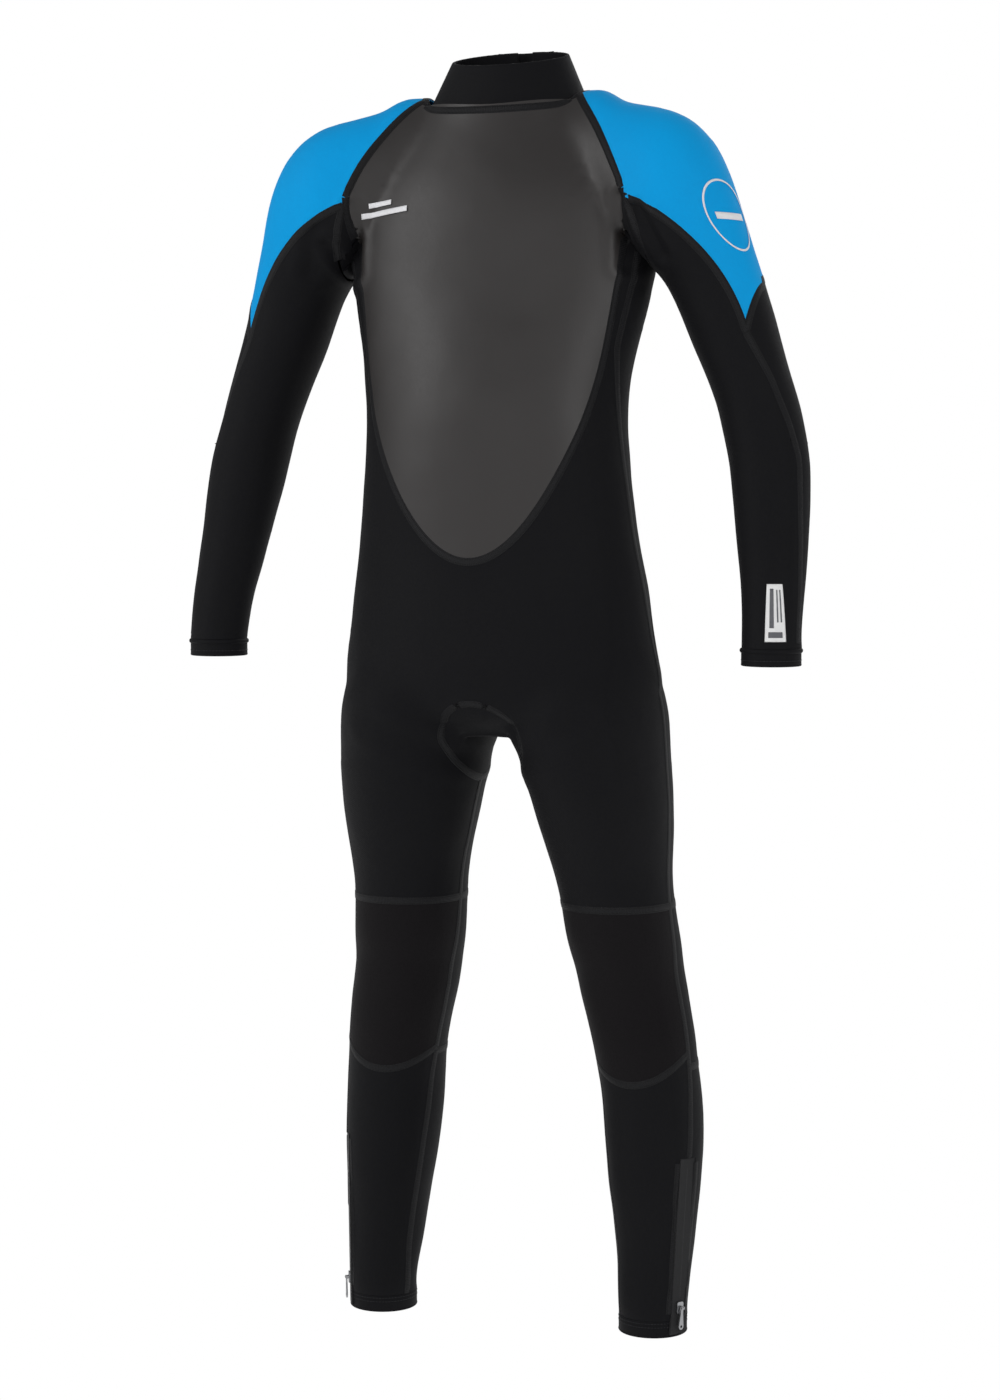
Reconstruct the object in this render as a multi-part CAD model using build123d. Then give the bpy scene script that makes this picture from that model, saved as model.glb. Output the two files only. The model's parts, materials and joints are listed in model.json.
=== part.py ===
from build123d import *
import os
from math import cos, radians, sin

# A youth back-zip full wetsuit, worn shape, arms a little away from the body.
# Millimetres.  +Z up, the wearer faces -Y, the wearer's left is +X.
# The origin lies on the level of the ankle hems, in the middle of the suit.

# Overall lengths
leg_length = 562.0         # ankle hem to crotch
trunk_length = 575.0       # crotch to the middle of the neck seam
underarm_length = 341.0    # armpit to wrist hem
armpit_drop = 167.0        # neck seam down to the armpit
set_back = 9.0             # moves the suit back so that its box is centred on the origin

# Neoprene
trunk_wall = 3.0
limb_wall = 2.0

# Hems
wrist_radius = 26.5
wrist_hem = 16.0
ankle_radius = 32.0
ankle_hem = 16.0
hem_roll = 1.2

# Collar: half width and half depth at the neck seam and at the top edge
collar_low = (73.0, 58.0)
collar_high = (54.5, 46.0)
collar_rise = 41.0
collar_low_lean = 10.0
collar_high_lean = 15.0
collar_split = 14.0
collar_tab_width = 54.0
collar_tab_height = 24.0
patch_thick = 1.0

# Zips
back_zip_length = 340.0
back_zip_width = 30.0
back_zip_depths = (63.5, 55.5)   # how far back the zip runs at its top and at its foot
back_slider_size = (11.0, 15.0)
back_pull_size = (8.0, 34.0)
ankle_zip_length = 166.0
ankle_zip_width = 20.0
ankle_zip_turn = 61.0            # round the ankle from the front towards the outside
ankle_slider_size = (8.0, 11.0)
ankle_pull_size = (6.0, 20.0)
ankle_slider_height = 27.0
coil_width = 4.4
coil_thick = 2.2
tape_thick = 0.9
plate_thick = 1.4
pin_radius = 0.7
pin_length = 3.6
pin_rise = 2.0
clearance = 0.3

# Bend zones
elbow_fall = 104.0         # armpit to elbow
elbow_zone = 40.0          # each way from the elbow
knee_pad_top = 402.0
knee_pad_side = 300.0
knee_pad_bottom = 236.0
knee_back_bottom = 250.0

# Panels
raglan_middle = (127.0, 88.0)    # out from the centre, and up from the armpit
raglan_foot = 150.0              # out from the centre, at the armpit
blue_armpit = (134.0, 71.0)
blue_curve = (168.0, 52.0)
blue_tip = (238.0, -49.0)
blue_outside = (246.0, -2.0)
chest_top = (131.0, 75.0)
chest_middle = (118.0, -35.0)
chest_low = (82.0, -170.0)
chest_foot = -251.0
gusset_half_width = 38.0
gusset_rise = 30.0
gusset_fall = 60.0
side_panel_top = (70.0, 30.0, 28.0)    # up from the armpit, then forward and back of the middle
side_panel_waist = (-60.0, 51.0, 26.0)
side_panel_foot = (40.0, 12.0)         # up from the crotch, forward of the middle
yoke_seam_drop = 8.0             # the seam under the back zip

# Label on the left forearm
label_size = (15.0, 50.0)
label_thick = 0.5

neck_height = leg_length + trunk_length
armpit_height = neck_height - armpit_drop
wrist_height = armpit_height - underarm_length
elbow_height = armpit_height - elbow_fall
back_zip_top = neck_height + 3.0
back_zip_foot = back_zip_top - back_zip_length
wide = 400.0               # larger than the suit is wide or deep, for cutting shapes

# Size charts.  Every row is an oval section of the suit's outer face.
# trunk: share of the trunk length above the crotch, middle forward/back, half width, half depth
trunk_chart = [
    (-0.005, -7, 95, 50), (0.025, -8, 128, 78), (0.07, -12, 150, 94), (0.135, -18, 147, 91),
    (0.23, -20, 139, 87), (0.325, -25, 131, 84), (0.425, -29, 125, 84.5), (0.52, -28, 123, 85),
    (0.615, -21, 131, 81), (0.69, -15, 141, 77), (0.77, -12, 144, 75), (0.85, -8, 135, 71.5),
    (0.92, -1, 112, 64.5), (0.965, 4, 90, 60), (1.0, 5.5, 73, 58), (1.05, 7, 64, 53)]
# shoulder: out, middle, height above the armpit, half size across and front to back, lean
shoulder_chart = [
    (58, 3, 111, 60, 50, 86), (104, -5, 105, 59, 55, 80), (142, -18, 94, 60.5, 56, 60),
    (161, -23, 79, 58, 55, 46), (175, -23, 55, 52, 53, 30), (187, -18, 27, 47, 50, 15),
    (199.5, -12, 0, 43.5, 47, 3)]
# sleeve: share of the underarm length, out, middle, half width, half depth
sleeve_chart = [
    (0.155, 219, -8, 40, 44), (0.32, 239, -8, 37, 40), (0.48, 252, -14, 36, 38),
    (0.645, 258, -28, 32.5, 34), (0.805, 263.5, -45, 28.5, 30), (0.905, 265, -55, 26.5, 27)]
# leg: share of the leg length, out, middle, half width, half depth
leg_chart = [
    (1.157, 70, -12, 55, 68), (1.095, 76, -11, 67, 84), (1.03, 80, -9, 74, 91), (0.97, 86, -6, 70, 87),
    (0.9075, 91.5, -2, 65.5, 81), (0.808, 97.5, 8, 57.5, 68), (0.71, 102.5, 19, 52, 60),
    (0.61, 109.5, 33, 50.5, 57), (0.5125, 119, 38, 48.5, 54), (0.413, 127, 44, 46.5, 51),
    (0.315, 130.5, 46, 45.5, 49), (0.215, 133, 41, 41, 43.5), (0.117, 134.5, 35, 35.5, 36.5)]


def oval(out, middle, height, half_width, half_depth, lean=0.0):
    turn = radians(lean)
    plane = Plane(
        origin=(out, middle + set_back, height),
        x_dir=(cos(turn), 0, sin(turn)),
        z_dir=(-sin(turn), 0, cos(turn)),
    )
    return plane * Ellipse(half_width, half_depth)


def trunk_form(inset=0.0):
    rows = []
    for share, middle, half_width, half_depth in trunk_chart:
        rows.append(oval(0, middle, leg_length + share * trunk_length, half_width - inset, half_depth - inset))
    return loft(rows)


def arm_form(inset=0.0):
    rows = []
    for out, middle, rise, across, deep, lean in shoulder_chart:
        rows.append(oval(out, middle, armpit_height + rise, across - inset, deep - inset, lean))
    for share, out, middle, across, deep in sleeve_chart:
        rows.append(oval(out, middle, armpit_height - share * underarm_length, across - inset, deep - inset))
    out, middle = wrist_place
    rows.append(oval(out, middle, wrist_height + wrist_hem, wrist_radius - inset, wrist_radius - inset))
    return loft(rows)


def leg_form(inset=0.0):
    rows = []
    for share, out, middle, across, deep in leg_chart:
        rows.append(oval(out, middle, share * leg_length, across - inset, deep - inset))
    out, middle = ankle_place
    rows.append(oval(out, middle, 2 * ankle_hem, ankle_radius + 0.4 - inset, ankle_radius + 0.4 - inset))
    rows.append(oval(out, middle, ankle_hem, ankle_radius - inset, ankle_radius - inset))
    return loft(rows)


def slab(low, high):
    """All of the wearer's left half between two levels."""
    return Pos(wide / 2, 0, (low + high) / 2) * Box(wide, 2 * wide, high - low)


def front_view(outline, near=-wide, far=wide):
    """A prism along Y of a closed outline drawn in (out, height)."""
    face = Plane((0, near, 0), x_dir=(1, 0, 0), z_dir=(0, -1, 0)) * make_face(outline)
    return extrude(face, -(far - near))


def side_view(outline, near=0.0, far=wide):
    """A prism along X of a closed outline drawn in (back, height)."""
    face = Plane((near, 0, 0), x_dir=(0, 1, 0), z_dir=(1, 0, 0)) * make_face(outline)
    return extrude(face, far - near)


def both(left):
    """A middle piece from its left half."""
    return left + mirror(left, about=Plane.YZ)


def save(shape, name):
    export_step(shape if isinstance(shape, Compound) else Compound([shape]), f"parts/{name}.step")


def save_pair(left, name):
    save(left, f"{name}_left")
    save(mirror(left, about=Plane.YZ), f"{name}_right")


os.makedirs("parts", exist_ok=True)
wrist_place = (265.5, -58.0)
ankle_place = (135.0, 27.0)
top = neck_height + 60.0
hip_cut = 0.89 * leg_length
chest_cut = armpit_height - 70.0

# ---- Zip lines -----------------------------------------------------------
zip_foot = Vector(0, back_zip_depths[1] + set_back, back_zip_foot)
zip_head = Vector(0, back_zip_depths[0] + set_back, back_zip_top)
zip_rise = (zip_head - zip_foot).normalized()
back_zip = Plane(origin=zip_foot, x_dir=(-1, 0, 0), z_dir=zip_rise.cross(Vector(-1, 0, 0)) * -1)

turn = radians(ankle_zip_turn)
outward = Vector(sin(turn), -cos(turn), 0)
hem_reach = ankle_radius - limb_wall / 2
calf_row = [row for row in leg_chart if row[0] < 0.32][0]
hem_point = Vector(ankle_place[0], ankle_place[1] + set_back, 0) + outward * hem_reach
calf_point = Vector(
    calf_row[1] + (calf_row[3] - limb_wall / 2) * sin(turn),
    calf_row[2] + set_back - (calf_row[4] - limb_wall / 2) * cos(turn),
    calf_row[0] * leg_length,
)
ankle_rise = (calf_point - hem_point).normalized()
sideways = ankle_rise.cross(outward).normalized()
ankle_zip = Plane(origin=hem_point, x_dir=sideways, z_dir=sideways.cross(ankle_rise))

# ---- Forms and shells of the left half -----------------------------------
trunk, arm, leg = trunk_form(), arm_form(), leg_form()
trunk_in, arm_in, leg_in = trunk_form(trunk_wall), arm_form(limb_wall), leg_form(limb_wall)
upper, middle = slab(chest_cut, top), slab(hip_cut, chest_cut)
upper_shell = ((trunk & upper) + (arm & upper)) - ((trunk_in & upper) + (arm_in & upper))
middle_shell = ((trunk & middle) + (leg & middle)) - ((trunk_in & middle) + (leg_in & middle))
lower_shell = (leg - leg_in) & slab(ankle_hem, hip_cut)
arm_shell = arm - arm_in

# ---- Cutting shapes ------------------------------------------------------
shoulder_seam = set_back - 12      # where front and back meet at the hip and over the shoulder
neck_plane = Plane(
    origin=(0, 6 + set_back, neck_height),
    x_dir=(1, 0, 0),
    z_dir=(0, -sin(radians(collar_low_lean)), cos(radians(collar_low_lean))),
)
neck_hole = extrude(neck_plane * Ellipse(collar_low[0] + 2, collar_low[1] + 2), 2 * collar_rise)

raglan = ThreePointArc(
    (collar_low[0] - 8, neck_height + 12),
    (raglan_middle[0], armpit_height + raglan_middle[1]),
    (raglan_foot, armpit_height),
)
arm_zone = front_view([
    raglan,
    Line(raglan @ 1, (raglan_foot + 50, wrist_height - 50)),
    Line((raglan_foot + 50, wrist_height - 50), (wide, wrist_height - 50)),
    Line((wide, wrist_height - 50), (wide, top)),
    Line((wide, top), (raglan @ 0).X * Vector(1, 0) + top * Vector(0, 1)),
    Line((raglan @ 0).X * Vector(1, 0) + top * Vector(0, 1), raglan @ 0),
])


def level(pair):
    return (pair[0], armpit_height + pair[1])


blue_inner = ThreePointArc(level(blue_armpit), level(blue_curve), level(blue_tip))
blue_rest = [
    (blue_outside[0] + 6, blue_outside[1] + armpit_height + 30),
    (wide, armpit_height + 60), (wide, top), (0, top), (0, armpit_height + blue_armpit[1]),
]
arm_middle = shoulder_chart[-1][1] + set_back
blue_front = front_view(
    [blue_inner, Polyline(blue_inner @ 1, level(blue_outside), *blue_rest, blue_inner @ 0)],
    far=arm_middle,
)
blue_back = front_view(
    [Polyline(level(blue_armpit), level(blue_outside), *blue_rest, level(blue_armpit))],
    near=arm_middle,
)

chest_side = Spline(level(chest_top), level(chest_middle), level(chest_low), (0, armpit_height + chest_foot),
                    tangents=[(0, -1), (-1, 0)], tangent_scalars=[0.6, 0.9])
chest_rest = Polyline(chest_side @ 1, (0, top), (chest_top[0], top), chest_side @ 0)
chest_zone = front_view([chest_side, chest_rest], far=shoulder_seam)

gusset_arc = EllipticalCenterArc((0, leg_length - 5), gusset_half_width, gusset_rise + 5, start_angle=0, arc_size=90)
gusset_zone = front_view([
    gusset_arc,
    Line(gusset_arc @ 1, (0, leg_length - gusset_fall)),
    Line((0, leg_length - gusset_fall), (gusset_half_width / 2, leg_length - gusset_fall)),
    Line((gusset_half_width / 2, leg_length - gusset_fall), gusset_arc @ 0),
])

# The side seam runs from the hip, by the knee, down the ankle zip.
knee_row = leg_chart[7]
zip_top_point = ankle_zip.origin + ankle_rise * ankle_zip_length
side_seam = Spline(
    (shoulder_seam, leg_length + 100),
    (set_back - 8, leg_length - 20),
    (knee_row[2] + set_back - 14, knee_row[0] * leg_length),
    (zip_top_point.Y, zip_top_point.Z),
)
seam_foot = ankle_zip.origin.Y, 0
front_zone = side_view([
    side_seam,
    Polyline(side_seam @ 1, seam_foot, (seam_foot[0], -20), (-wide, -20), (-wide, top), (shoulder_seam, top),
             side_seam @ 0),
])
side_corners = [(set_back - row[1], armpit_height + row[0]) for row in (side_panel_top, side_panel_waist)]
side_corners.append((set_back - side_panel_foot[1], leg_length + side_panel_foot[0]))
side_corners += [(set_back + row[2], armpit_height + row[0]) for row in (side_panel_waist, side_panel_top)]
side_zone = side_view([Polyline(*side_corners, side_corners[0])], near=raglan_middle[0] / 2)

back_slot = back_zip * Pos(0, back_zip_length / 2 + 30, 0) * Box(back_zip_width, back_zip_length + 60, 40)
ankle_slot = ankle_zip * Pos(0, ankle_zip_length / 2 - 20, 0) * Box(ankle_zip_width, ankle_zip_length + 40, 16)

# ---- Trunk panels --------------------------------------------------------
upper_trunk = upper_shell - arm_zone - neck_hole
chest_half = (upper_trunk & chest_zone) + (middle_shell & chest_zone)
save(both(chest_half), "chest_panel")

gusset_half = middle_shell & gusset_zone
save(both(gusset_half), "crotch_gusset")

front_upper = (upper_trunk & front_zone) - chest_zone - side_zone
front_middle = (middle_shell & front_zone) - chest_zone - side_zone - gusset_zone
front_lower = (lower_shell & front_zone & slab(knee_pad_top, hip_cut)) - gusset_zone
save(both(front_upper + front_middle + front_lower), "front_panel")

side_left = (upper_trunk & side_zone) + (middle_shell & side_zone)
save_pair(side_left, "side_panel")

back_upper = (upper_trunk - front_zone) - side_zone - back_slot
back_middle = ((middle_shell - front_zone) - side_zone) - gusset_zone
yoke_level = back_zip_foot - yoke_seam_drop
back_left = back_upper + ((back_middle & slab(yoke_level, top)) - back_slot)
save_pair(back_left.solids().sort_by(SortBy.VOLUME)[-1], "back_panel")

seat_lower = ((lower_shell - front_zone) & slab(knee_pad_top, hip_cut)) - gusset_zone
save(both((back_middle & slab(0, yoke_level)) + seat_lower), "seat_panel")

# ---- Sleeves -------------------------------------------------------------
sleeve_shell = arm_shell & arm_zone
blue_panel = ((sleeve_shell & blue_front) + (sleeve_shell & blue_back)) - neck_hole
save_pair(blue_panel, "shoulder_panel")
sleeve_top = (sleeve_shell & slab(elbow_height + elbow_zone, top)) - blue_front - blue_back
save_pair(sleeve_top, "upper_sleeve")
save_pair(arm_shell & slab(elbow_height - elbow_zone, elbow_height + elbow_zone), "elbow_sleeve")
save_pair(arm_shell & slab(wrist_height, elbow_height - elbow_zone), "forearm_sleeve")


def cuff(place, radius, height, base):
    """A hem turned back on itself: a short tube with a round bead above it."""
    tube = Cylinder(radius, height) - Cylinder(radius - limb_wall, height)
    bead = Torus(radius, hem_roll) & (Cylinder(radius + 2 * hem_roll, height) - Cylinder(radius - hem_roll / 2, height))
    ring = tube + Pos(0, 0, height / 2 - 2 * hem_roll) * bead
    return Pos(place[0], place[1] + set_back, base + height / 2) * ring


save_pair(cuff(wrist_place, wrist_radius, wrist_hem, wrist_height), "wrist_cuff")

label_skin = arm_form(-clearance - label_thick) - arm_form(-clearance)
label_out = wrist_place[0] + label_size[0] / 2
label_box = Pos(label_out, set_back - 150, wrist_height + wrist_hem + 6 + label_size[1] / 2) * Box(
    label_size[0], 200, label_size[1])
label_middle = slab(wrist_height + wrist_hem, elbow_height - elbow_zone)
save((label_skin & label_middle) & label_box, "forearm_label")

# ---- Legs ----------------------------------------------------------------
shin_row = leg_chart[8]
pad_curve = ThreePointArc(
    (shin_row[1] - shin_row[3] - 4, knee_pad_side),
    (shin_row[1] + 4, knee_pad_bottom),
    (shin_row[1] + shin_row[3] + 8, knee_pad_side),
)
pad_rest = Polyline(
    pad_curve @ 1, (wide, knee_pad_side), (wide, knee_pad_top), (0, knee_pad_top), (0, knee_pad_side), pad_curve @ 0
)
pad_zone = front_view([pad_curve, pad_rest])
leg_front = lower_shell & front_zone & slab(0, knee_pad_top)
leg_back = (lower_shell - front_zone) & slab(0, knee_pad_top)
save_pair(leg_front & pad_zone, "knee_pad")
save_pair((leg_front - pad_zone) - ankle_slot, "shin_panel")
save_pair(leg_back & slab(knee_back_bottom, knee_pad_top), "knee_back_panel")
save_pair((leg_back & slab(0, knee_back_bottom)) - ankle_slot, "calf_panel")
save_pair(cuff(ankle_place, ankle_radius, ankle_hem, 0.0) - ankle_slot, "ankle_cuff")


# ---- Collar --------------------------------------------------------------
def collar_ring(size, rise, lean, grow):
    plane = Plane(
        origin=(0, 6 + set_back + 0.1 * rise, neck_height + rise),
        x_dir=(1, 0, 0),
        z_dir=(0, -sin(radians(lean)), cos(radians(lean))),
    )
    return plane * Ellipse(size[0] + grow, size[1] + grow)


def collar_form(grow=0.0):
    rings = [collar_ring(collar_low, 0.0, collar_low_lean, grow),
             collar_ring(collar_high, collar_rise, collar_high_lean, grow)]
    return loft(rings, ruled=True)


def band(inner, outer, width, height, rise, middle=0.0):
    """A strip that lies round the back of the collar, between two distances off its outer face."""
    strip = collar_form(outer) - collar_form(inner)
    return strip & (Pos(middle, wide / 2, neck_height + rise + 10) * Box(width, wide, height))


collar = collar_form() - collar_form(-trunk_wall)
collar_gap = Pos(0, wide / 2, neck_height) * Box(collar_split, wide, 300)
save(collar - collar_gap, "collar")
tab_rise = 20.0
tab_offset = 2 * patch_thick + clearance
save(band(tab_offset, tab_offset + 2.5, collar_tab_width, collar_tab_height, tab_rise), "collar_tab")
patch_out = collar_tab_width / 4 + collar_split / 4
patch_width = collar_tab_width / 2 - collar_split / 2 - 4
hook_patch = band(patch_thick + clearance, tab_offset, patch_width, collar_tab_height - 6, tab_rise, patch_out)
save(hook_patch, "tab_hook_patch")
loop_patch = band(0.0, patch_thick, patch_width, collar_tab_height - 2, tab_rise, patch_out)
save(loop_patch, "collar_loop_patch")


# ---- Zips ----------------------------------------------------------------
def tapes(plane, width, length):
    strip = Box((width - coil_width) / 2, length, tape_thick)
    reach = (width + coil_width) / 4
    return [plane * Pos(side * reach, length / 2, 0) * strip for side in (1, -1)]


def coil(plane, low, high):
    return plane * Pos(0, (low + high) / 2, 0) * Box(coil_width, high - low, coil_thick)


def stop(plane, height):
    return plane * Pos(0, height, 0) * Box(coil_width, 3, coil_thick + 0.2)


def slider(plane, size, height):
    """The plate that runs over the coil, with lips at its sides and a pin between two ears for the pull."""
    width, length = size
    floor = coil_thick / 2 + clearance
    plate = Pos(0, 0, floor + plate_thick / 2) * Box(width, length, plate_thick)
    plate = fillet(plate.edges().filter_by(Axis.Z), width / 4)
    lip_low = tape_thick / 2 + clearance
    lip_high = floor + plate_thick / 2 - lip_low
    lip = Box(1.2, length - width / 2, lip_high)
    body = plate
    for side in (1, -1):
        body += Pos(side * (width / 2 - 0.6), 0, lip_low + lip_high / 2) * lip
        body += Pos(side * (pin_length / 2 + 0.5), 0, floor + plate_thick + pin_rise / 2) * Box(1, 2.6, pin_rise + 2)
    body += Pos(0, 0, floor + plate_thick + pin_rise) * Rot(0, 90, 0) * Cylinder(pin_radius, pin_length)
    return plane * Pos(0, height, 0) * body


def pull(plane, size, height):
    """A drop-shaped tab whose knuckle turns on the slider's pin."""
    width, length = size
    knuckle_width = pin_length - 2 * clearance
    crosswise = Rot(0, 90, 0)
    tab = make_hull([
        *(Pos(0, -5) * Circle(knuckle_width / 2)).edges(),
        *(Pos(0, width / 2 - length) * Circle(width / 2)).edges(),
    ])
    body = Pos(0, 0, -plate_thick / 2) * extrude(tab, plate_thick)
    body += Pos(0, -2.5, 0) * Box(knuckle_width, 5, plate_thick)
    body += crosswise * Cylinder(pin_radius + 0.9, knuckle_width)
    body -= crosswise * Cylinder(pin_radius + clearance / 2, knuckle_width + 2)
    body -= Pos(0, width / 2 - length, 0) * Cylinder(width / 5, 2 * plate_thick)
    return plane * Pos(0, height, coil_thick / 2 + clearance + plate_thick + pin_rise) * body


save(tapes(back_zip, back_zip_width, back_zip_length)[0], "back_zip_tape_left")
save(tapes(back_zip, back_zip_width, back_zip_length)[1], "back_zip_tape_right")
back_closed = back_zip_length - 16.0
save(coil(back_zip, 6.0, back_closed + 6), "back_zip_coil")
save(Compound([stop(back_zip, 3.0), stop(back_zip, back_closed + 10)]), "back_zip_stops")
save(slider(back_zip, back_slider_size, back_closed - 4), "back_zip_slider")
save(pull(back_zip, back_pull_size, back_closed - 4), "back_zip_pull")
flap = Box(back_zip_width - 2 * clearance, back_zip_length - 6, 1.5)
save(back_zip * Pos(0, back_zip_length / 2, -tape_thick / 2 - clearance - 1.2) * flap, "back_flap")

ankle_tape = tapes(ankle_zip, ankle_zip_width, ankle_zip_length - 2)
lift = ankle_rise * 2
save_pair(Compound([Pos(*lift) * strip for strip in ankle_tape]), "ankle_zip_tape")
ankle_top = ankle_zip_length - 8.0
save_pair(coil(ankle_zip, ankle_slider_height - 6, ankle_top), "ankle_zip_coil")
save_pair(slider(ankle_zip, ankle_slider_size, ankle_slider_height), "ankle_zip_slider")
save_pair(pull(ankle_zip, ankle_pull_size, ankle_slider_height), "ankle_zip_pull")
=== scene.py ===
import json
import math
import bpy
import bmesh
import numpy as np
from mathutils import Matrix, Vector, noise
from mathutils.bvhtree import BVHTree
from mathutils.kdtree import KDTree


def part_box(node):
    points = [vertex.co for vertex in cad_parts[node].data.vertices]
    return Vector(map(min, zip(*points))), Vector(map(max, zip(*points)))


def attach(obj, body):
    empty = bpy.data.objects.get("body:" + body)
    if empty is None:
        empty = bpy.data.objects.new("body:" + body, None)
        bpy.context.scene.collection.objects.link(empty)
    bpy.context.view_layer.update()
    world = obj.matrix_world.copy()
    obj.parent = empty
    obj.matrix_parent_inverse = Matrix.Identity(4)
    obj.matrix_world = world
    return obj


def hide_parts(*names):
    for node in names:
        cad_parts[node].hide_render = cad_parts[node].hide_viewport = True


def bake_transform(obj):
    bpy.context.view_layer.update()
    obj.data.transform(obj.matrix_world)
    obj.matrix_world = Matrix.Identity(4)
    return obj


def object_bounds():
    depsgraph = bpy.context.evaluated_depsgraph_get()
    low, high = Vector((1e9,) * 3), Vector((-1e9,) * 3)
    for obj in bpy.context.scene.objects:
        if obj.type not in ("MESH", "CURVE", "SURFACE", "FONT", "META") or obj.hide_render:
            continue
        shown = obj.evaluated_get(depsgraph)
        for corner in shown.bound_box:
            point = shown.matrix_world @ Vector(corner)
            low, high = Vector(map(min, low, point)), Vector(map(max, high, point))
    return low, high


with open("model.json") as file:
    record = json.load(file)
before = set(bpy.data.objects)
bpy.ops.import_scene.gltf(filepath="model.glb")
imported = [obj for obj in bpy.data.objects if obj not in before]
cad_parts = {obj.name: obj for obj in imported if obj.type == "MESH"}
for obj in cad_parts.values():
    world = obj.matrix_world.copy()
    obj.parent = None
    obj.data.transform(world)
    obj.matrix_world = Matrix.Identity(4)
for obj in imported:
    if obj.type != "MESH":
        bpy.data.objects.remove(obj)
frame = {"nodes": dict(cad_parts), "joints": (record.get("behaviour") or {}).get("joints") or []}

for leftover in ("Cube", "Light", "Camera"):
    if leftover in bpy.data.objects:
        bpy.data.objects.remove(bpy.data.objects[leftover])
cad_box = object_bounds()

nodes = frame["nodes"]
joints = {joint["name"]: joint for joint in frame["joints"]}
scene = bpy.context.scene
bpy.ops.object.select_all(action="DESELECT")

# Camera
# A long lens at chest height, a little to the wearer's left, looking slightly down.
low = cad_box[0]
camera_turn = math.radians(19)
camera_distance = 2.7
camera_height = 0.78
camera_drop = math.radians(4.05)
suit_middle_y = 0.009
camera_data = bpy.data.cameras.new("camera")
camera_data.lens = 75.0
camera_data.sensor_width = 36.0
camera_data.shift_x = -0.005
camera = bpy.data.objects.new("camera", camera_data)
scene.collection.objects.link(camera)
camera.location = (
    camera_distance * math.sin(camera_turn),
    -camera_distance * math.cos(camera_turn) + suit_middle_y,
    camera_height,
)
camera.rotation_euler = (math.pi / 2 - camera_drop, 0, camera_turn)
scene.camera = camera

# Room
# A plain pale floor and backdrop that show white, under large soft lamps.
scene.view_settings.view_transform = "Standard"


def add(owner, kind, links=(), **settings):
    """One shader node of a material or the world, with its settings, socket values and incoming links."""
    made = owner.node_tree.nodes.new(kind)
    for name, value in settings.items():
        setattr(made, name, value)
    for socket, source in links:
        if isinstance(source, (int, float, tuple)):
            made.inputs[socket].default_value = source
        else:
            owner.node_tree.links.new(source, made.inputs[socket])
    return made


def linear(hex_colour):
    """An sRGB hex colour as linear red, green, blue and alpha."""
    parts = [int(hex_colour[i:i + 2], 16) / 255 for i in (1, 3, 5)]
    return tuple(c / 12.92 if c <= 0.04045 else ((c + 0.055) / 1.055) ** 2.4 for c in parts) + (1.0,)


def shader(name):
    """A new material with one surface shader wired to its output."""
    material = bpy.data.materials.new(name)
    material.use_nodes = True
    material.node_tree.nodes.clear()
    shade = add(material, "ShaderNodeBsdfPrincipled")
    add(material, "ShaderNodeOutputMaterial", [("Surface", shade.outputs[0])])
    return material, shade


paper = bpy.data.materials.new("studio_paper")
paper.use_nodes = True
paper.node_tree.nodes.clear()
path = add(paper, "ShaderNodeLightPath")
seen = add(paper, "ShaderNodeMath",
           [(0, path.outputs["Is Camera Ray"]), (1, path.outputs["Is Glossy Ray"])],
           operation="ADD", use_clamp=True)
matt = add(paper, "ShaderNodeBsdfDiffuse", [("Color", linear("#f4f4f4"))])
glow = add(paper, "ShaderNodeEmission", [("Color", linear("#ffffff")), ("Strength", 1.0)])
mixed = add(paper, "ShaderNodeMixShader",
            [("Fac", seen.outputs[0]), (1, matt.outputs[0]), (2, glow.outputs[0])])
add(paper, "ShaderNodeOutputMaterial", [("Surface", mixed.outputs[0])])

FLOOR_WIDTH = 14
FLOOR_GAP = 0.0005
bpy.ops.mesh.primitive_plane_add(size=FLOOR_WIDTH, location=(0, 0, low.z - FLOOR_GAP))
floor = bpy.context.object
floor.name = "floor"
floor.data.materials.append(paper)

world = bpy.data.worlds.new("studio")
scene.world = world
world.use_nodes = True
world.node_tree.nodes.clear()
room_light = add(world, "ShaderNodeBackground", [("Color", linear("#ffffff")), ("Strength", 0.34)])
backdrop = add(world, "ShaderNodeBackground", [("Color", linear("#ffffff")), ("Strength", 1.0)])
rays = add(world, "ShaderNodeLightPath")
choice = add(world, "ShaderNodeMixShader",
             [("Fac", rays.outputs["Is Camera Ray"]), (1, room_light.outputs[0]), (2, backdrop.outputs[0])])
add(world, "ShaderNodeOutputWorld", [("Surface", choice.outputs[0])])


def lamp(name, place, aim, size, power):
    """A square soft box, looking at a point."""
    data = bpy.data.lights.new(name, "AREA")
    data.shape = "RECTANGLE"
    data.size, data.size_y = size
    data.energy = power
    made = bpy.data.objects.new(name, data)
    scene.collection.objects.link(made)
    made.location = place
    made.rotation_euler = (Vector(aim) - Vector(place)).to_track_quat("-Z", "Y").to_euler()


lamp("key_left", (-2.2, -1.7, 1.9), (0, 0, 0.75), (1.2, 2.2), 34)
lamp("key_right", (2.4, -1.3, 1.6), (0, 0, 0.7), (1.2, 2.2), 24)
lamp("front_fill", (0.4, -3.2, 1.5), (0, 0, 0.6), (2.2, 1.6), 12)
lamp("back_rim", (0.3, 2.6, 2.1), (0, 0, 0.7), (2.4, 1.4), 20)

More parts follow.
